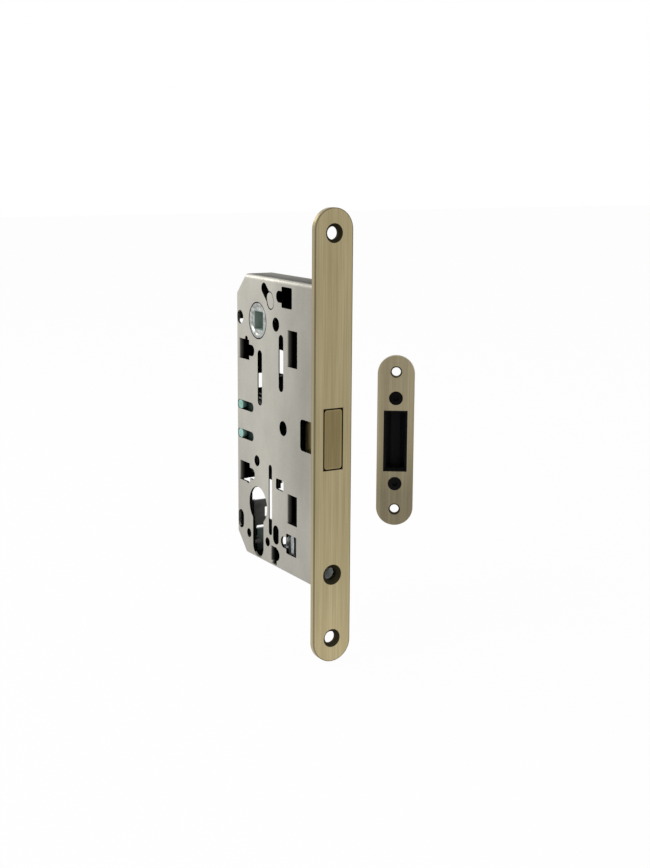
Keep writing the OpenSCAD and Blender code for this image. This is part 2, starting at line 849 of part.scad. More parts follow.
// Tongue of the guide block, and the pocket in the slide that it fills
module slide_tongue(tail) {
  translate([-tongue_w / 2, spring_rear - tongue_l, slide_z])
    cube([tongue_w, tongue_l + tail, tongue_h]);
}

module bolt_slide() {
  color("black")
    difference() {
      union() {
        translate([-slide_w / 2, nose_l, slide_low])
          cube([slide_w, spring_rear - nose_l, slide_h]);
        translate([-magnet_w / 2, magnet_front + magnet_l, bolt_z - magnet_h / 2])
          cube([magnet_w, nose_l - magnet_front - magnet_l + over, magnet_h]);
      }
      translate([slide_w / 2 - channel_w, stop_front - loose, channel_z - channel_w / 2])
        cube([channel_w + over, spring_rear - stop_front + loose + over, channel_w]);
      slide_tongue(over);
    }
}

module guide_block() {
  color("teal")
    difference() {
      union() {
        translate([-slide_w / 2, spring_rear, slide_low])
          cube([slide_w, slide_end - spring_rear, slide_h]);
        slide_tongue(0.5);
        for (dir = [-1, 1])
          side(near_out + 0.1)
            linear_extrude(case_w - 0.2)
              slot_2d([stud_y - (stud_l - stud_h) / 2, slide_z + dir * stud_span / 2],
                [stud_y + (stud_l - stud_h) / 2, slide_z + dir * stud_span / 2], stud_h);
      }
      translate([-lever_t / 2 - loose, recess_front, lever_depth])
        cube([lever_t + 2 * loose, recess_rear - recess_front, slide_top + over - lever_depth]);
      translate([-bar_post_t / 2 - loose, bar_front - loose, slide_low - over])
        cube([slide_w, case_depth, over + bar_lift]);
    }
}

module bolt_spring() {
  r = (bolt_spring_d - bolt_wire) / 2;
  steps = bolt_curls * 8;
  y0 = stop_front + stop_l;
  y1 = spring_rear;
  centre = [slide_w / 2 - channel_w / 2 - 0.1, 0, channel_z];
  turns = [for (i = [0:steps]) i * 45];
  out = [for (a = turns) [cos(a), 0, sin(a)]];
  curl = [for (i = [0:steps])
    centre + r * out[i] + [0, y0 + 2 * bolt_wire + i / steps * (y1 - y0 - 4 * bolt_wire), 0]];
  start = centre + r * out[0] + [0, y0, 0];
  end = centre + r * out[0] + [0, y1, 0];
  color("silver")
    wound(concat([start, start + [0, bolt_wire, 0]], curl, [end - [0, bolt_wire, 0], end]),
      concat([out[0], out[0]], out, [out[0], out[0]]), bolt_wire);
}

module spring_stop() {
  color("dimgray")
    translate([slide_w / 2 - channel_w + loose, stop_front, channel_z - channel_w / 2 + loose])
      cube([far_in - slide_w / 2 + channel_w - loose, stop_l, channel_w - 2 * loose]);
}

module deadlock_lever() {
  notch_x = 1.6;
  notch_top = dead_top - 3.6;
  notch_h = 4.9;
  boss_end = 3;
  cheek_rear = dead_front + 6.2;
  color("black")
    difference() {
      union() {
        translate([-dead_half, dead_front, dead_low])
          cube([2 * dead_half, dead_wall_t, dead_top - dead_low]);
        side(-dead_half)
          linear_extrude(dead_cheek_t) {
            polygon([[dead_front, dead_low], dead_axis - [dead_eye_d / 2, 0], dead_axis,
              [cheek_rear, dead_low], [cheek_rear - 1.8, dead_top - 3.5], [cheek_rear - 3.7, dead_top],
              [dead_front, dead_top]]);
            slot_2d(dead_axis, lug, 2.6);
          }
        cross_bar(dead_axis, dead_eye_d, -dead_half, boss_end);
        cross_bar(lug, lug_d, bar_x, -dead_half + dead_cheek_t);
      }
      cross_bar(dead_axis, dead_pin_d + 2 * run_gap, near_in, far_in);
      translate([notch_x, dead_front - over, notch_top - notch_h])
        cube([2 * dead_half, dead_wall_t + 2 * over, notch_h]);
    }
}

module deadlock_pin() {
  color("lightslategray")
    cross_bar(dead_axis, dead_pin_d, near_in, far_in);
}

module deadlock_spring() {
  r = (dead_pin_d / 2 + 0.1 + dead_wire / 2) / cos(22.5);
  leg_up = 1.6;
  leg_down = 3.2;
  color("silver")
    twist_spring(dead_axis, far_in - 2.6, r, dead_wire, dead_curls, leg_up, leg_down);
}

module locking_bar() {
  foot_front = lug.x - 0.6;
  foot_rear = lug.x + lug_d / 2 + 1.6;
  foot_low = lug.y - lug_d / 2 - 1.1;
  cross_low = dead_low - 2.1;
  cross_top = dead_low + 0.9;
  color("goldenrod")
    difference() {
      union() {
        translate([bar_x, foot_front, foot_low])
          cube([bar_t, foot_rear - foot_front, cross_top - foot_low]);
        translate([bar_x, foot_front, cross_low])
          cube([bar_t, bar_front + bar_w - foot_front, cross_top - cross_low]);
        translate([bar_x, bar_front, cross_low])
          cube([bar_t, bar_w, bar_shoulder + bar_shoulder_h - cross_low]);
        translate([bar_x, bar_front, bar_shoulder])
          cube([bar_post_t / 2 - bar_x, bar_w, bar_shoulder_h]);
        translate([-bar_post_t / 2, bar_front, bar_shoulder])
          cube([bar_post_t, bar_w, bar_rest_top - bar_shoulder]);
      }
      side(bar_x - over)
        linear_extrude(bar_t + 2 * over)
          slot_2d(lug - [2, 0], lug + [0.35, 0], lug_d + 0.3);
    }
}

module bar_guide() {
  guide_z = cylinder_axis.y + 12;
  guide_h = 5;
  gap = 0.15;
  inner = [bar_post_t + 2 * gap, bar_w + 2 * gap];
  outer = inner + 2 * [guide_wall, guide_wall];
  color("dimgray")
    difference() {
      translate([-outer.x / 2, bar_front - gap - guide_wall, guide_z])
        cube([far_in + outer.x / 2, outer.y, guide_h]);
      translate([-inner.x / 2, bar_front - gap, guide_z - over])
        cube([inner.x, inner.y, guide_h + 2 * over]);
    }
}

// Lays the strike's pieces out from its own face, with the jamb behind it
module at_strike() {
  translate([strike_x, strike_y, strike_z])
    rotate([0, 0, strike_turn])
      children();
}

module strike_plate() {
  color("darkkhaki")
    at_strike()
      difference() {
        round_plate(strike_w, strike_h, strike_t);
        for (dir = [-1, 1]) {
          sunk_hole(dir * strike_screw_span / 2, strike_screw_d, strike_sink_d, strike_t);
          sunk_hole(dir * housing_screw_span / 2, shank_d, housing_screw_d, strike_t);
        }
        translate([-mouth_w / 2, -over, -mouth_h / 2])
          cube([mouth_w, strike_t + 2 * over, mouth_h]);
      }
}

module strike_housing() {
  rim = 0.15;
  outer_w = mouth_w - 2 * rim;
  outer_h = mouth_h - 2 * rim;
  lug_h = housing_screw_span + 8;
  lug_t = 3;
  step = 0.6;
  recess = 2.6;
  block_w = 4.6;
  color("black")
    at_strike()
      difference() {
        union() {
          translate([-outer_w / 2, 0.5, -outer_h / 2])
            cube([outer_w, pocket_depth + 1 - 0.5, outer_h]);
          translate([-mouth_w / 2, strike_t, -lug_h / 2])
            cube([mouth_w, lug_t, lug_h]);
        }
        difference() {
          translate([-outer_w / 2 + pocket_wall / 2, -over, -outer_h / 2 + pocket_wall / 2])
            cube([outer_w - pocket_wall, over + recess, outer_h - pocket_wall]);
        }
        difference() {
          translate([-outer_w / 2 + pocket_wall / 2 + step, -over, -outer_h / 2 + pocket_wall / 2 + step])
            cube([outer_w - pocket_wall - 2 * step, over + pocket_depth, outer_h - pocket_wall - 2 * step]);
          translate([-block_w / 2, pocket_depth - block_t, -outer_h])
            cube([block_w, block_t + over, 2 * outer_h]);
        }
        translate([-magnet_w / 2 + 0.2, pocket_depth - block_t + 0.8, -magnet_h / 2])
          cube([magnet_w - 0.4, 20, magnet_h]);
        for (dir = [-1, 1])
          translate([0, 0, dir * housing_screw_span / 2])
            rotate([-90, 0, 0])
              cylinder(d = shank_d, h = strike_t + lug_t + over);
      }
}

module strike_magnet() {
  front = pocket_depth - block_t + 0.8;
  color("gray")
    at_strike()
      translate([-magnet_w / 2 + 0.2, front, -magnet_h / 2])
        cube([magnet_w - 0.4, pocket_depth + 1 - front, magnet_h]);
}

module strike_screws() {
  sink = (housing_screw_d - shank_d) / 2;
  socket_d = 2.9;
  socket_depth = 1.6;
  color("black")
    at_strike()
      for (dir = [-1, 1])
        translate([0, 0, dir * housing_screw_span / 2])
          rotate([-90, 0, 0])
            difference() {
              union() {
                cylinder(d1 = housing_screw_d, d2 = shank_d, h = sink);
                cylinder(d = shank_d, h = strike_t + 3);
              }
              translate([0, 0, -over])
                cylinder(d = socket_d, h = over + socket_depth, $fn = 6);
            }
}

faceplate();
case_body();
case_cover();
cover_posts();
cover_screws();
screw_block();
cylinder_rest();
follower();
follower_spring();
lever_stud();
draw_lever();
latch_bolt();
bolt_magnet();
bolt_slide();
guide_block();
bolt_spring();
spring_stop();
deadlock_lever();
deadlock_pin();
deadlock_spring();
locking_bar();
bar_guide();
strike_plate();
strike_housing();
strike_magnet();
strike_screws();
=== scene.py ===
# %% [markdown]
# # A mortise sashlock with a magnetic flush bolt
# The lock is a set of stamped, turned and moulded pieces whose shapes come ready from the CAD model.
# Blender's job is their finishes: brushed bronze, zinc-plated sheet, moulded plastic and spring wire.
# Everything is in metres, in the model's own frame: -Y looks out of the door's edge and +Z is up.

# %% Load the lock
import json
import math

import bpy
from mathutils import Matrix, Vector


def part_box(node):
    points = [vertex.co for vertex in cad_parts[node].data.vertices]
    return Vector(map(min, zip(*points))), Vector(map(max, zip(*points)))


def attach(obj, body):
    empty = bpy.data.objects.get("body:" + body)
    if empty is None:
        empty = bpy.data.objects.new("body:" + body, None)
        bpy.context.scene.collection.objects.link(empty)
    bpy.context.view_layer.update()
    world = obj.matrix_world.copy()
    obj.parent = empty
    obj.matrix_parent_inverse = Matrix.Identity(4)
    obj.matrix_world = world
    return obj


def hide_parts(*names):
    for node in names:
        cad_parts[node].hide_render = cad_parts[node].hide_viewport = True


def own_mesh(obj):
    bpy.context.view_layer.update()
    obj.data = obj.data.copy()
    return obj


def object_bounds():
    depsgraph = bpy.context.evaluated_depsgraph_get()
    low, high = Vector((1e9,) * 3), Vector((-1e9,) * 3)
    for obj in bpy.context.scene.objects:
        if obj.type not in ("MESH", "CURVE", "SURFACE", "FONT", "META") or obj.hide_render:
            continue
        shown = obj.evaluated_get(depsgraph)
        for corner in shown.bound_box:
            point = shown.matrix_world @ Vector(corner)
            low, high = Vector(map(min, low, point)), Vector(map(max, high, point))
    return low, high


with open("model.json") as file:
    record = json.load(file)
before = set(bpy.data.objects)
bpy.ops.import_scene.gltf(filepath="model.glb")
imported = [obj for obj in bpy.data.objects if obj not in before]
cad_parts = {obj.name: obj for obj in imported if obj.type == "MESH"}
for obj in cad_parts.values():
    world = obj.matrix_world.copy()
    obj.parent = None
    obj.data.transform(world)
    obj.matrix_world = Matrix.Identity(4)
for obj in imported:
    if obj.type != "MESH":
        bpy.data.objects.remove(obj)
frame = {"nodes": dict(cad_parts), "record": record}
nodes = frame["nodes"]
cad_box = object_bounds()
MM = 0.001
print("nodes:", len(nodes), "box:", cad_box)

# %% [markdown]
# The picture is taken from the left front, a little above the middle of the lock, with a normal lens.
# A camera can be aimed by hand or by a constraint. Here its three axes are worked out from a turn,
# a tilt and a slight roll, because then the frame stays the same whatever else changes.

# %% Camera
TURN, TILT, ROLL = (math.radians(a) for a in (-30.497, 11.308, 0.338))
EYE = Vector((-0.302748, -0.507213, 0.121285))
back = Vector((math.sin(TURN) * math.cos(TILT), -math.cos(TURN) * math.cos(TILT), math.sin(TILT)))
level_right = (-back).cross(Vector((0, 0, 1))).normalized()
level_up = level_right.cross(-back)
right = math.cos(ROLL) * level_right + math.sin(ROLL) * level_up
up = -math.sin(ROLL) * level_right + math.cos(ROLL) * level_up
lens = bpy.data.cameras.new("view")
lens.sensor_fit, lens.sensor_height, lens.lens = "VERTICAL", 36, 59.03
lens.clip_start = 0.01
camera = bpy.data.objects.new("view", lens)
camera.matrix_world = Matrix.Translation(EYE) @ Matrix((right, up, back)).transposed().to_4x4()
bpy.context.scene.collection.objects.link(camera)
bpy.context.scene.camera = camera
print("camera at", tuple(EYE), "with a lens of", lens.lens, "mm")

# %% [markdown]
# A material is a web of nodes, and long sums of Math nodes are hard to read. The next cell wraps a
# socket in a small class, so that a formula such as 1 - mask * 0.5 writes those nodes by itself.
# Every other node comes from one method that takes its type, its settings and what feeds it.


# %% Formulas for shaders
class Value:
    def __init__(self, finish, socket):
        self.finish, self.socket = finish, socket

    def sum_up(self, operation, first, second):
        return self.finish.node("Math", {"operation": operation}, [first, second])

    def __add__(self, other):
        return self.sum_up("ADD", self, other)

    def __sub__(self, other):
        return self.sum_up("SUBTRACT", self, other)

    def __rsub__(self, other):
        return self.sum_up("SUBTRACT", other, self)

    def __mul__(self, other):
        return self.sum_up("MULTIPLY", self, other)

    __radd__, __rmul__ = __add__, __mul__


MIX_MASK, MIX_FIRST, MIX_SECOND, MIX_COLOUR = 0, 6, 7, 2  # a Mix node's sockets when it mixes colours


class Finish:
    def __init__(self, name, **constants):
        self.material = bpy.data.materials.new(name)
        self.material.use_nodes = True
        self.tree = self.material.node_tree
        self.shader = self.tree.nodes["Principled BSDF"]
        for socket, value in constants.items():
            self.shader.inputs[socket.replace("_", " ")].default_value = value

    def node(self, kind, settings=None, inputs=(), output=0):
        made = self.tree.nodes.new("ShaderNode" + kind)
        for name, value in (settings or {}).items():
            if name == "stops":
                ramp = made.color_ramp
                ramp.elements[0].position, ramp.elements[0].color = value[0]
                ramp.elements[1].position, ramp.elements[1].color = value[-1]
                for place, colour in value[1:-1]:
                    ramp.elements.new(place).color = colour
            else:
                setattr(made, name, value)
        pairs = inputs.items() if isinstance(inputs, dict) else enumerate(inputs)
        for key, value in pairs:
            if isinstance(value, Value):
                self.tree.links.new(value.socket, made.inputs[key])
            else:
                made.inputs[key].default_value = value
        return Value(self, made.outputs[output])

    def feed(self, socket, value):
        self.tree.links.new(value.socket, self.shader.inputs[socket])

    def place(self, sx, sy, sz):
        """Object coordinates counted in millimetres, stretched by a factor along each axis."""
        coords = self.node("TexCoord", output="Object")
        return self.node("Mapping", inputs={"Vector": coords, "Scale": (1000 * sx, 1000 * sy, 1000 * sz)})

    def along(self, axis):
        """One of the object's coordinates in millimetres: X across the door, Y into it, Z up."""
        coords = self.node("TexCoord", output="Object")
        return self.node("SeparateXYZ", inputs=[coords], output="XYZ".index(axis)) * 1000.0

    def size_of(self, value):
        """The value without its sign: how far a coordinate lies from 0."""
        return self.node("Math", {"operation": "ABSOLUTE"}, [value])

    def larger(self, first, second):
        return self.node("Math", {"operation": "MAXIMUM"}, [first, second])

    def reach(self, first, second):
        """How far a point lies from an axis, given its two coordinates across that axis."""
        flat = self.node("CombineXYZ", inputs=[first, second, 0.0])
        return self.node("VectorMath", {"operation": "LENGTH"}, [flat], output="Value")

    def noise(self, place, scale, detail=3.0, rough=0.55):
        return self.node("TexNoise", {"noise_dimensions": "3D"},
                         {"Vector": place, "Scale": scale, "Detail": detail, "Roughness": rough})

    def between(self, value, low, high, to_low=0.0, to_high=1.0):
        return self.node("MapRange", {"clamp": True}, {"Value": value, "From Min": low, "From Max": high,
                                                       "To Min": to_low, "To Max": to_high})

    def blend(self, mask, first, second):
        """Mixes two colours by a mask from 0 to 1, and goes past the second where it is above 1."""
        made = self.tree.nodes.new("ShaderNodeMix")
        made.data_type, made.clamp_factor = "RGBA", False
        for key, value in ((MIX_MASK, mask), (MIX_FIRST, first), (MIX_SECOND, second)):
            if isinstance(value, Value):
                self.tree.links.new(value.socket, made.inputs[key])
            else:
                made.inputs[key].default_value = value
        return Value(self, made.outputs[MIX_COLOUR])

    def fade(self, colour, keep):
        """Darkens a colour: all of it is kept where keep is 1, none where it is 0. Above 1, it is paler."""
        return self.blend(keep, (0.0025, 0.0025, 0.002, 1.0), colour)

    def relief(self, height, depth_mm):
        made = self.node("Bump", inputs={"Height": height, "Strength": 1.0, "Distance": depth_mm * MM})
        self.feed("Normal", made)


def paint(r, g, b):
    """A colour as it looks on a screen, from 0 to 255, made linear for the shader."""
    linear = [c / 3294.6 if c <= 10.3 else ((c / 255 + 0.055) / 1.055) ** 2.4 for c in (r, g, b)]
    return (*linear, 1.0)


print("a mid grey is", paint(128, 128, 128))

# %% [markdown]
# ## Brushed bronze
# The faceplate and the strike plate are plated, brushed along their height and lacquered. The look is
# three layers of streaks: hair-fine ones that catch the light, scratches as wide as a grain of the
# belt, and broad soft bands where it pressed harder. All are one noise pattern pulled out along Z,
# read from the object's coordinates.
# Over the streaks, light and shade are painted on. The faceplate is painted paler towards its lower end,
# and painted dark as shade in its sinks and holes and along the edge of its front face. The bolt's rim gets
# a painted highlight and its sides painted shade where they slide in the plate, as does a thin line on the
# plate round it. The strike plate is painted paler on its upper half and left edge, and dark as shade in its
# sunk holes. Where the painted shade is dark, the surface is also made rough and loses its lacquer coat.
# Places are found in millimetres, from the object's coordinates.


# %% Bronze finishes
HALF_W = 9.0  # both plates are 18 mm wide
PLATE_HALF_H, PLATE_T = 98.0, 3.0
STRIKE_HALF_H, STRIKE_T = 42.25, 2.5
STRIKE_X, STRIKE_Y, STRIKE_Z, STRIKE_TURN = 73.0, 63.0, -18.5, math.radians(-33.4)


def bronze(name, dark, mid, light, painted_shading):
    finish = Finish(name, Metallic=1.0, Coat_Roughness=0.25)
    hair = finish.noise(finish.place(5.0, 5.0, 0.035), 1.0, 4.0, 0.7)
    streak = finish.noise(finish.place(1.5, 1.5, 0.022), 1.0, 3.0, 0.6)
    band = finish.noise(finish.place(0.42, 0.42, 0.006), 1.0, 2.0)
    cloud = finish.noise(finish.place(0.03, 0.03, 0.018), 1.0, 2.0)
    fine = finish.between(hair, 0.3, 0.7) * 0.25 + finish.between(streak, 0.32, 0.68) * 0.32
    tone = fine + finish.between(band, 0.3, 0.7) * 0.25 + cloud * 0.25
    low_mix = finish.blend(finish.between(tone, 0.15, 0.6), dark, mid)
    colour = finish.blend(finish.between(tone, 0.55, 1.0), low_mix, light)
    # Painted light and shade: each plate's mask darkens the colour where it is low, and makes it paler where
    # it is above 1.
    painted_light_mask = painted_shading(finish)
    lacquer = finish.between(painted_light_mask, 0.2, 0.7)
    finish.feed("Base Color", finish.fade(colour, painted_light_mask))
    finish.feed("Roughness", finish.between(hair, 0.25, 0.75, 0.3, 0.48) * lacquer + (1.0 - lacquer) * 0.8)
    finish.feed("Coat Weight", lacquer * 0.12)
    finish.relief(hair, 0.012)
    return finish.material


def past_bolt(finish):
    """How far a point lies outside the bolt's outline, in millimetres, and below 0 within it."""
    low, high = (Vector(corner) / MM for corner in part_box("latch_bolt"))
    x = finish.size_of(finish.along("X"))
    z = finish.size_of(finish.along("Z") - (low.z + high.z) / 2)
    return finish.larger(x - high.x, z - (high.z - low.z) / 2)


def on_edge(finish, across, up, half_height):
    """1 on the outer edge of a plate with round ends, and 0 further in."""
    past_end = finish.larger(finish.size_of(up) - (half_height - HALF_W), 0.0)
    return finish.between(finish.reach(across, past_end), HALF_W - 0.45, HALF_W - 0.25)


def on_faces(finish, depth, thickness, shade):
    """1 on a plate's front and back, and a painted shade on what lies between them: its holes' walls."""
    front = finish.between(depth, 0.0, 0.1, 1.0, 0.0)
    back_face = finish.between(depth, thickness - 0.15, thickness - 0.05)
    return (front + back_face) * (1.0 - shade) + shade


def plate_painted_light(finish):
    """Painted light and shade: paler towards the lower end, and painted shade along the edge of the front
    face, in its holes and sinks, and in a line round the bolt.
    """
    z, depth = finish.along("Z"), finish.along("Y")
    low_end = finish.between(z, -PLATE_HALF_H, -25.0, 1.0, 0.76)
    on_side = on_edge(finish, finish.along("X"), z, PLATE_HALF_H)
    front_edge = finish.between(depth, 0.7, 1.2, 0.5, 1.0)
    in_hole = on_faces(finish, depth, PLATE_T, 0.1)
    by_bolt = finish.between(past_bolt(finish), 0.5, 0.75, 0.12, 1.0)
    return low_end * (on_side * front_edge + (1.0 - on_side) * in_hole) * by_bolt


def bolt_painted_light(finish):
    """Painted shade on the bolt's sides where they slide in the faceplate, and a painted highlight along its
    rim.
    """
    near_rim, depth = past_bolt(finish), finish.along("Y")
    side = finish.between(near_rim, -0.2, -0.1)
    in_plate = finish.between(depth, 0.0, 0.1) * finish.between(depth, 2.2, 3.2, 1.0, 0.0)
    rim = finish.between(near_rim, -0.9, -0.5)
    return (1.0 + rim * 0.16) * (1.0 - side * in_plate * 0.55)


def strike_painted_light(finish):
    """Painted light and shade: paler on its upper half and along its left edge, and painted shade in its
    sunk holes.
    """
    x, y = finish.along("X") - STRIKE_X, finish.along("Y") - STRIKE_Y
    across = x * math.cos(STRIKE_TURN) + y * math.sin(STRIKE_TURN)
    depth = y * math.cos(STRIKE_TURN) - x * math.sin(STRIKE_TURN)
    z = finish.along("Z")
    left_edge = finish.between(across, -HALF_W, -5.0, 1.28, 1.02)
    upper_half = finish.between(z, -45.0, -20.0, 0.85, 1.22)
    on_side = on_edge(finish, across, z - STRIKE_Z, STRIKE_HALF_H)
    in_hole = on_faces(finish, depth, STRIKE_T, 0.25)
    return left_edge * upper_half * (on_side + (1.0 - on_side) * in_hole)


plate_bronze = bronze("bronze_plate", paint(161, 148, 110), paint(184, 170, 131), paint(203, 189, 150),
                      plate_painted_light)
bolt_bronze = bronze("bolt_bronze", paint(111, 99, 66), paint(129, 115, 80), paint(145, 131, 97), bolt_painted_light)
strike_bronze = bronze("bronze_strike", paint(127, 118, 94), paint(144, 134, 109), paint(163, 153, 127),
                       strike_painted_light)
print("bronze finishes:", plate_bronze.name, bolt_bronze.name, strike_bronze.name)

# %% [markdown]
# ## Zinc-plated sheet
# The case is pressed from thin steel and plated after pressing, which leaves a soft satin grey with a
# faint grain from the rolling mill and a cloudy tone. A little relief keeps large flat sides from
# looking like plastic. Inside, shade is painted: the sheet is painted black there, and so is the
# follower's body, so a hole in the side looks dark. The painted shade starts at the holes' inner edges
# and is found by place: how far a point lies inside the outer skin, measured along X, Y, Z and across
# the two cut corners. The tabs bent in at the holes fade to black round their bend, as painted shade,
# and where the sheet is painted dark its surface is also made rough.


# %% Zinc finishes
HUB_Y, HUB_Z, BORE_Z = 55.0, 46.0, -58.8
REAR, TOP, BOTTOM, HIGH_CORNER, LOW_CORNER = 76.0, 65.5, 64.3, 133.0, 131.8
# The roughness given to the zinc where shade is painted dark.
PAINTED_SHADE_ROUGHNESS = 0.8


def within(finish, inset):
    """1 where a point lies deeper than this under the case's rear, top, bottom and cut corners."""
    y, z = finish.along("Y"), finish.along("Z")
    inside = 1.0
    for place, skin in ((y, REAR), (z, TOP), (z * -1.0, BOTTOM), (y + z, HIGH_CORNER), (y - z, LOW_CORNER)):
        inside = finish.between(place, skin - inset - 0.2, skin - inset + 0.2, 1.0, 0.0) * inside
    return inside


def skin_shade_keep(finish):
    """1 on the outer skin of the case, 0 where shade is painted: on the inside and on the sheared walls of
    holes, fading in round the bends of the tabs.
    """
    x = finish.along("X")
    normal = finish.node("TexCoord", output="Normal")
    faces_out = finish.node("SeparateXYZ", inputs=[normal]) * -1.0
    in_sheet = finish.between(x, -6.1, -5.95, 1.0, 0.0) * within(finish, 2.2)
    wall = finish.between(faces_out, 0.05, 0.45, 1.0, 0.0) * in_sheet
    inner_face = finish.between(faces_out, -0.3, -0.1, 1.0, 0.0) * within(finish, 0.0)
    down_tab = finish.between(x, -6.86, -6.4, 0.0, 0.82) * within(finish, 2.2)
    deep = finish.between(x, -6.4, -4.7) * within(finish, 0.0)
    return (1.0 - wall) * (1.0 - inner_face) * (1.0 - deep) * (1.0 - down_tab)


def cover_shade_keep(finish):
    """1 on the cover's outer face and its lips, 0 on its inner face, where shade is painted."""
    painted_dark = finish.between(finish.along("X"), 6.3, 6.6, 1.0, 0.0) * within(finish, 0.0)
    return 1.0 - painted_dark


def ends_shade_keep(finish):
    """1 on the follower's end faces, 0 where shade is painted: on its body and on the chamfer at their rim.
    """
    x, y, z = (finish.along(axis) for axis in "XYZ")
    rim = finish.between(finish.reach(y - HUB_Y, z - HUB_Z), 7.75, 7.95, 1.0, 0.04)
    return rim * finish.between(finish.size_of(x), 4.5, 6.3)


def in_square(finish):
    """1 on the walls of the follower's square hole, which are cast and never plated bright."""
    y, z = finish.along("Y"), finish.along("Z")
    off_axis = finish.larger(finish.size_of(y - HUB_Y), finish.size_of(z - HUB_Z))
    return finish.between(off_axis, 4.2, 4.35, 1.0, 0.0)


def in_bore(finish):
    """1 on the walls of the screw block's bore, which stay pale and matt as they were cast."""
    from_axis = finish.reach(finish.along("X"), finish.along("Z") - BORE_Z)
    return finish.between(from_axis, 2.8, 2.95, 1.0, 0.0)


def sheet_painted_shading(finish, shade_keep=skin_shade_keep):
    """Painted light and shade on the skin: darker by the faceplate, on the folded flanges and at the lower
    rear corner, paler at the upper rear corner, all times the mask that paints shade inside.
    """
    x, y, z = (finish.along(axis) for axis in "XYZ")
    flange = finish.between(z, 65.1, 65.8) + finish.between(z, -64.7, -64.0, 1.0, 0.0)
    flange = finish.between(x, -6.1, -4.9) * finish.between(flange, 0.0, 1.0)
    flange_shade = finish.between(x, -5.0, 6.8, 0.17, 0.38)
    by_plate = finish.between(z, -38.0, -18.0, 0.84, 0.74)
    shade = finish.node("MapRange", {"clamp": True}, {"Value": y, "From Min": 14.0, "From Max": 42.0,
                                                      "To Min": by_plate, "To Max": 1.0})
    low_rear = finish.between(y - z, 78.0, 118.0, 1.0, 0.84)
    high_rear = finish.between(y + z, 96.0, 128.0, 1.0, 1.07)
    return shade * low_rear * high_rear * (1.0 - flange * (1.0 - flange_shade)) * shade_keep(finish)


# The same painted light and shade on the cover, with its own painted-dark inner face.
def cover_painted_shading(finish):
    return sheet_painted_shading(finish, cover_shade_keep)


def zinc(name, dark, light, rough_low, rough_high, grain=0.006, keep=None, cloud_size=14.0, matt=None):
    finish = Finish(name, Metallic=1.0, Roughness=0.4)
    mill = finish.noise(finish.place(1.6, 0.5, 2.2), 1.0, 5.0, 0.65)
    speckle = finish.noise(finish.place(5.0, 5.0, 5.0), 1.0, 3.0, 0.6)
    cloud = finish.noise(finish.place(1.0 / cloud_size, 1.0 / cloud_size, 0.6 / cloud_size), 1.0, 3.0)
    tone = mill * 0.3 + speckle * 0.2 + cloud * 0.5
    colour = finish.blend(finish.between(tone, 0.34, 0.66), dark, light)
    gloss = finish.between(speckle, 0.3, 0.7, rough_low, rough_high)
    # The keep mask paints shade: the colour fades to black where it is low, and the surface there is made
    # rough.
    if keep:
        kept = keep(finish)
        colour = finish.fade(colour, kept)
        gloss = gloss * kept + PAINTED_SHADE_ROUGHNESS * (1.0 - kept)
    if matt:
        as_cast = matt(finish)
        colour = finish.blend(as_cast, colour, paint(226, 230, 229))
        finish.feed("Metallic", 1.0 - as_cast)
    finish.feed("Base Color", colour)
    finish.feed("Roughness", gloss)
    finish.relief(speckle, grain)
    return finish.material


def hub_finish():
    """Bright zinc on the end faces, painted shade on the body and the rim chamfer, and matt grey-green in
    the square hole.
    """
    finish = Finish("hub_zinc", Roughness=0.3)
    cloud = finish.noise(finish.place(0.5, 0.5, 0.5), 1.0, 3.0)
    fine = finish.noise(finish.place(5.0, 5.0, 5.0), 1.0, 3.0, 0.6)
    plated = finish.blend(finish.between(cloud, 0.3, 0.7), paint(128, 131, 127), paint(210, 213, 208))
    # Painted shade: the follower's body and the chamfer round its end faces fade to black.
    plated = finish.fade(plated, ends_shade_keep(finish))
    square = in_square(finish)
    finish.feed("Base Color", finish.blend(square, plated, paint(132, 148, 140)))
    finish.feed("Metallic", 1.0 - square)
    finish.feed("Roughness", finish.between(fine, 0.3, 0.7, 0.2, 0.34) + square * 0.3)
    finish.relief(fine, 0.004)
    return finish.material


sheet_zinc = zinc("zinc_sheet", paint(177, 174, 164), paint(197, 194, 184), 0.36, 0.5, keep=sheet_painted_shading)
cover_zinc = zinc("zinc_cover", paint(177, 174, 164), paint(197, 194, 184), 0.36, 0.5, keep=cover_painted_shading)
bright_zinc = zinc("bright_zinc", paint(140, 146, 144), paint(188, 193, 191), 0.16, 0.28, 0.004)
hub_zinc = hub_finish()
block_zinc = zinc("block_zinc", paint(70, 75, 76), paint(226, 230, 229), 0.25, 0.45, 0.02, cloud_size=1.6,
                  matt=in_bore)
magnet_nickel = zinc("nickel", paint(160, 160, 158), paint(192, 192, 190), 0.18, 0.3, 0.004)
spring_wire = zinc("spring_wire", paint(150, 150, 150), paint(190, 190, 190), 0.25, 0.4, 0.004)
dark_steel = zinc("dark_steel", paint(28, 30, 28), paint(48, 50, 47), 0.35, 0.55, 0.008)
rest_steel = zinc("rest_steel", paint(62, 74, 71), paint(92, 104, 100), 0.3, 0.5, 0.008)
print("zinc finishes:", sheet_zinc.name, bright_zinc.name, hub_zinc.name)

# %% [markdown]
# ## Moulded plastic
# The bolt's slide, the pocket of the strike and the deadlock lever are injection moulded. Their
# skin is a spark-eroded grain: a fine even noise in the relief and a small change of gloss.


# %% Plastic and black finishes
def studs_shade_keep(finish):
    """1 on the ends of the guide studs, which show in the slots, and painted shade deeper in below them."""
    return finish.between(finish.size_of(finish.along("X")), 4.8, 6.75, 0.09, 1.0)


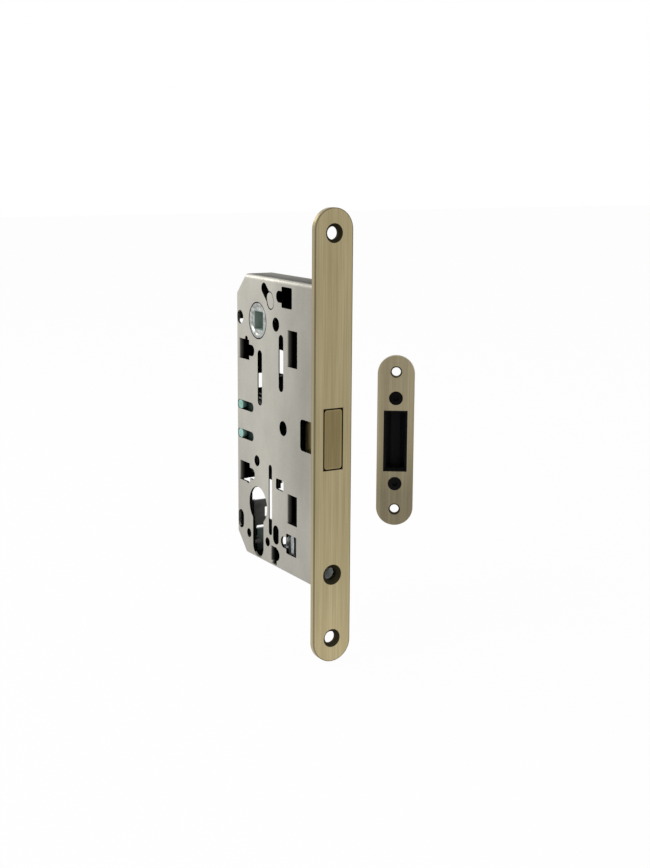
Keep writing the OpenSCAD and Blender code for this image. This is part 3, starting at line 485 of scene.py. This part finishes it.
def plastic(name, dark, light, rough_low, rough_high, grain=0.02, shine=0.5, keep=None):
    finish = Finish(name, Metallic=0.0, Roughness=0.5, IOR=1.5, Specular_IOR_Level=shine)
    skin = finish.noise(finish.place(3.2, 3.2, 3.2), 1.0, 4.0, 0.6)
    flow = finish.noise(finish.place(0.09, 0.05, 0.2), 1.0, 2.0)
    colour = finish.blend(finish.between(flow, 0.3, 0.7), dark, light)
    finish.feed("Base Color", finish.fade(colour, keep(finish)) if keep else colour)
    finish.feed("Roughness", finish.between(skin, 0.3, 0.7, rough_low, rough_high))
    finish.relief(skin, grain)
    return finish.material


# The guide block is painted dark as shade below the ends of its studs.
green_plastic = plastic("green_plastic", paint(96, 150, 138), paint(144, 186, 174), 0.32, 0.5,
                        keep=studs_shade_keep)
black_plastic = plastic("black_plastic", paint(5, 5, 6), paint(10, 10, 11), 0.5, 0.7, shine=0.15)
lever_plastic = plastic("lever_plastic", paint(68, 69, 65), paint(102, 103, 99), 0.3, 0.45, shine=0.3)
black_screw = zinc("black_screw", paint(12, 12, 12), paint(24, 24, 24), 0.35, 0.5)
print("plastics:", green_plastic.name, black_plastic.name)

# %% [markdown]
# Each CAD node keeps its mesh and only gets a finish, by the material slot that it has in the record.
# A table from slot to material is shorter and safer than a line for each of the twenty-six nodes.
# Some nodes get a finish of their own: the cover and the follower, whose painted shade lies
# in other places than the case's, the cast screw block, the deadlock lever and the rest beside it,
# which are paler than the black pieces, and the strike plate, whose bronze is darker.

# %% Dress the nodes
finishes = {"bronze_plate": plate_bronze, "bolt_bronze": bolt_bronze, "zinc_sheet": sheet_zinc,
            "bright_zinc": bright_zinc, "dark_steel": dark_steel, "green_plastic": green_plastic,
            "black_plastic": black_plastic, "black_screw": black_screw, "magnet": magnet_nickel,
            "spring_wire": spring_wire}
own_finish = {"follower": hub_zinc, "case_cover": cover_zinc, "strike_plate": strike_bronze,
              "deadlock_lever": lever_plastic, "cylinder_rest": rest_steel, "screw_block": block_zinc}
slot_of = {part["node"]: part["material_slot"] for part in frame["record"]["subparts"]}
for name, node in nodes.items():
    node.data.materials.clear()
    node.data.materials.append(own_finish.get(name, finishes[slot_of[name]]))
print("dressed", len(nodes), "nodes in", len(set(slot_of.values())), "finishes")

# %% [markdown]
# ## Springs
# The solids of the springs have flat sides, enough to show where the wire runs. A smooth wire is a
# spiral swept with a round section. Geometry Nodes fit it well: one tree with named inputs for the
# turns, the radius, the length and the wire makes any spring that pushes along its own axis.
# In the lock, the bolt's slide presses this spring against a stop that stays, so it gets shorter with the
# throw; here it is wound once, at its length in the CAD model.

# %% A tree that winds a spring
tree = bpy.data.node_groups.new("wound_spring", "GeometryNodeTree")
tree.interface.new_socket("Geometry", in_out="OUTPUT", socket_type="NodeSocketGeometry")
spring_inputs = {}
for title, kind in (("Turns", "Float"), ("Radius", "Float"), ("Length", "Float"), ("Wire", "Float"),
                    ("Finish", "Material")):
    spring_inputs[title] = tree.interface.new_socket(title, in_out="INPUT", socket_type="NodeSocket" + kind)
given = tree.nodes.new("NodeGroupInput")
spiral = tree.nodes.new("GeometryNodeCurveSpiral")
spiral.inputs["Resolution"].default_value = 40
section = tree.nodes.new("GeometryNodeCurvePrimitiveCircle")
section.inputs["Resolution"].default_value = 12
sweep = tree.nodes.new("GeometryNodeCurveToMesh")
sweep.inputs["Fill Caps"].default_value = True
smooth = tree.nodes.new("GeometryNodeSetShadeSmooth")
realize = tree.nodes.new("GeometryNodeRealizeInstances")
coat = tree.nodes.new("GeometryNodeSetMaterial")
result = tree.nodes.new("NodeGroupOutput")
link = tree.links.new
link(given.outputs["Turns"], spiral.inputs["Rotations"])
link(given.outputs["Radius"], spiral.inputs["Start Radius"])
link(given.outputs["Radius"], spiral.inputs["End Radius"])
link(given.outputs["Length"], spiral.inputs["Height"])
link(given.outputs["Wire"], section.inputs["Radius"])
link(spiral.outputs["Curve"], sweep.inputs["Curve"])
link(section.outputs["Curve"], sweep.inputs["Profile Curve"])
link(sweep.outputs["Mesh"], smooth.inputs["Geometry"])
link(smooth.outputs["Geometry"], realize.inputs["Geometry"])
link(realize.outputs["Geometry"], coat.inputs["Geometry"])
link(given.outputs["Finish"], coat.inputs["Material"])
link(coat.outputs["Geometry"], result.inputs["Geometry"])
print("spring tree with", len(tree.nodes), "nodes")


# %% Wind the bolt's spring
def wind(name, turns, radius, length, wire, placed):
    """Runs the spring tree with these sizes and returns a plain mesh, moved to its place."""
    carrier = bpy.data.objects.new(name + "_tree", bpy.data.meshes.new(name + "_tree"))
    bpy.context.scene.collection.objects.link(carrier)
    modifier = carrier.modifiers.new("wind", "NODES")
    modifier.node_group = tree
    for title, value in (("Turns", turns), ("Radius", radius), ("Length", length), ("Wire", wire / 2),
                         ("Finish", spring_wire)):
        modifier[spring_inputs[title].identifier] = value
    graph = bpy.context.evaluated_depsgraph_get()
    mesh = bpy.data.meshes.new_from_object(carrier.evaluated_get(graph))
    bpy.data.objects.remove(carrier)
    mesh.transform(placed)
    spring = bpy.data.objects.new(name, mesh)
    bpy.context.scene.collection.objects.link(spring)
    return spring


low, high = (Vector(corner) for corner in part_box("bolt_spring"))
middle = (low + high) / 2
wire, THROW = 0.6 * MM, 10 * MM
lay_down = Matrix.Translation((middle.x, low.y + wire, middle.z)) @ Matrix.Rotation(-math.pi / 2, 4, "X")
bolt_coil = wind("bolt_coil", 9, (high.x - low.x - wire) / 2, high.y - low.y - 2 * wire, wire, lay_down)
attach(bolt_coil, "lock")
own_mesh(bolt_coil)
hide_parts("bolt_spring")
print("bolt spring has", len(bolt_coil.data.polygons), "faces")

# %% [markdown]
# ## Studio
# A white table under a white world, seen by the camera at a strength of one, gives the plain
# background. A large soft lamp from the left front draws the side plate, and a weaker one from behind
# keeps the bends of the case readable.


# %% Floor and world
def camera_white(material_or_world, shade):
    """Shows plain white to the camera and in reflections, and another shade to everything else."""
    links, shader_nodes = material_or_world.node_tree.links, material_or_world.node_tree.nodes
    path = shader_nodes.new("ShaderNodeLightPath")
    seen = path.outputs["Is Camera Ray"]
    for ray in ("Is Glossy Ray", "Is Transmission Ray"):
        either = shader_nodes.new("ShaderNodeMath")
        either.operation = "MAXIMUM"
        links.new(seen, either.inputs[0])
        links.new(path.outputs[ray], either.inputs[1])
        seen = either.outputs[0]
    mix = shader_nodes.new("ShaderNodeMixShader")
    links.new(seen, mix.inputs[0])
    links.new(shade, mix.inputs[1])
    return mix


AMBIENT, TABLE_GLOW = 0.55, 0.96
world = bpy.data.worlds.new("studio")
world.use_nodes = True
bpy.context.scene.world = world
ambient = world.node_tree.nodes["Background"]
ambient.inputs["Color"].default_value = (1, 1, 1, 1)
ambient.inputs["Strength"].default_value = AMBIENT
seen_white = world.node_tree.nodes.new("ShaderNodeBackground")
seen_white.inputs["Color"].default_value = (1, 1, 1, 1)
seen_white.inputs["Strength"].default_value = 1.0
sky = camera_white(world, ambient.outputs[0])
world.node_tree.links.new(seen_white.outputs[0], sky.inputs[2])
world.node_tree.links.new(sky.outputs[0], world.node_tree.nodes["World Output"].inputs[0])

table = bpy.data.materials.new("table_white")
table.use_nodes = True
table_shader = table.node_tree.nodes["Principled BSDF"]
table_shader.inputs["Base Color"].default_value = (0.9, 0.9, 0.9, 1)
table_shader.inputs["Roughness"].default_value = 0.9
glow = table.node_tree.nodes.new("ShaderNodeEmission")
glow.inputs["Color"].default_value = (1, 1, 1, 1)
lit = table.node_tree.nodes.new("ShaderNodeMixShader")
lit.inputs[0].default_value = TABLE_GLOW
table.node_tree.links.new(table_shader.outputs[0], lit.inputs[1])
table.node_tree.links.new(glow.outputs[0], lit.inputs[2])
top = camera_white(table, table_shader.outputs[0])
table.node_tree.links.new(lit.outputs[0], top.inputs[2])
table.node_tree.links.new(top.outputs[0], table.node_tree.nodes["Material Output"].inputs[0])

reach, floor_z = 4.0, cad_box[0][2] - 0.5 * MM
corners = [(-reach, -reach), (reach, -reach), (reach, reach), (-reach, reach)]
floor_mesh = bpy.data.meshes.new("floor")
floor_mesh.from_pydata([(x, y, floor_z) for x, y in corners], [], [(0, 1, 2, 3)])
floor_mesh.materials.append(table)
floor = bpy.data.objects.new("floor", floor_mesh)
bpy.context.scene.collection.objects.link(floor)
print("floor at", round(floor_z, 4))


# %% Lamps
def lamp(name, place, aim, width, power):
    light = bpy.data.lights.new(name, "AREA")
    light.shape, light.size, light.energy = "DISK", width, power
    holder = bpy.data.objects.new(name, light)
    direction = Vector(aim) - Vector(place)
    holder.matrix_world = Matrix.Translation(place) @ direction.to_track_quat("-Z", "Y").to_matrix().to_4x4()
    bpy.context.scene.collection.objects.link(holder)
    return holder


centre = (0.02, 0.03, 0.0)
lamp("key", (-1.0, 0.05, 0.75), centre, 0.7, 6.0)
lamp("fill", (0.9, -0.9, 0.9), centre, 0.8, 1.5)
lamp("rear", (-0.5, 0.9, 0.7), centre, 0.6, 2.5)

# %% [markdown]
# The last cell keeps colours as they are written.

# %% Finish
bpy.context.scene.view_settings.view_transform = "Standard"
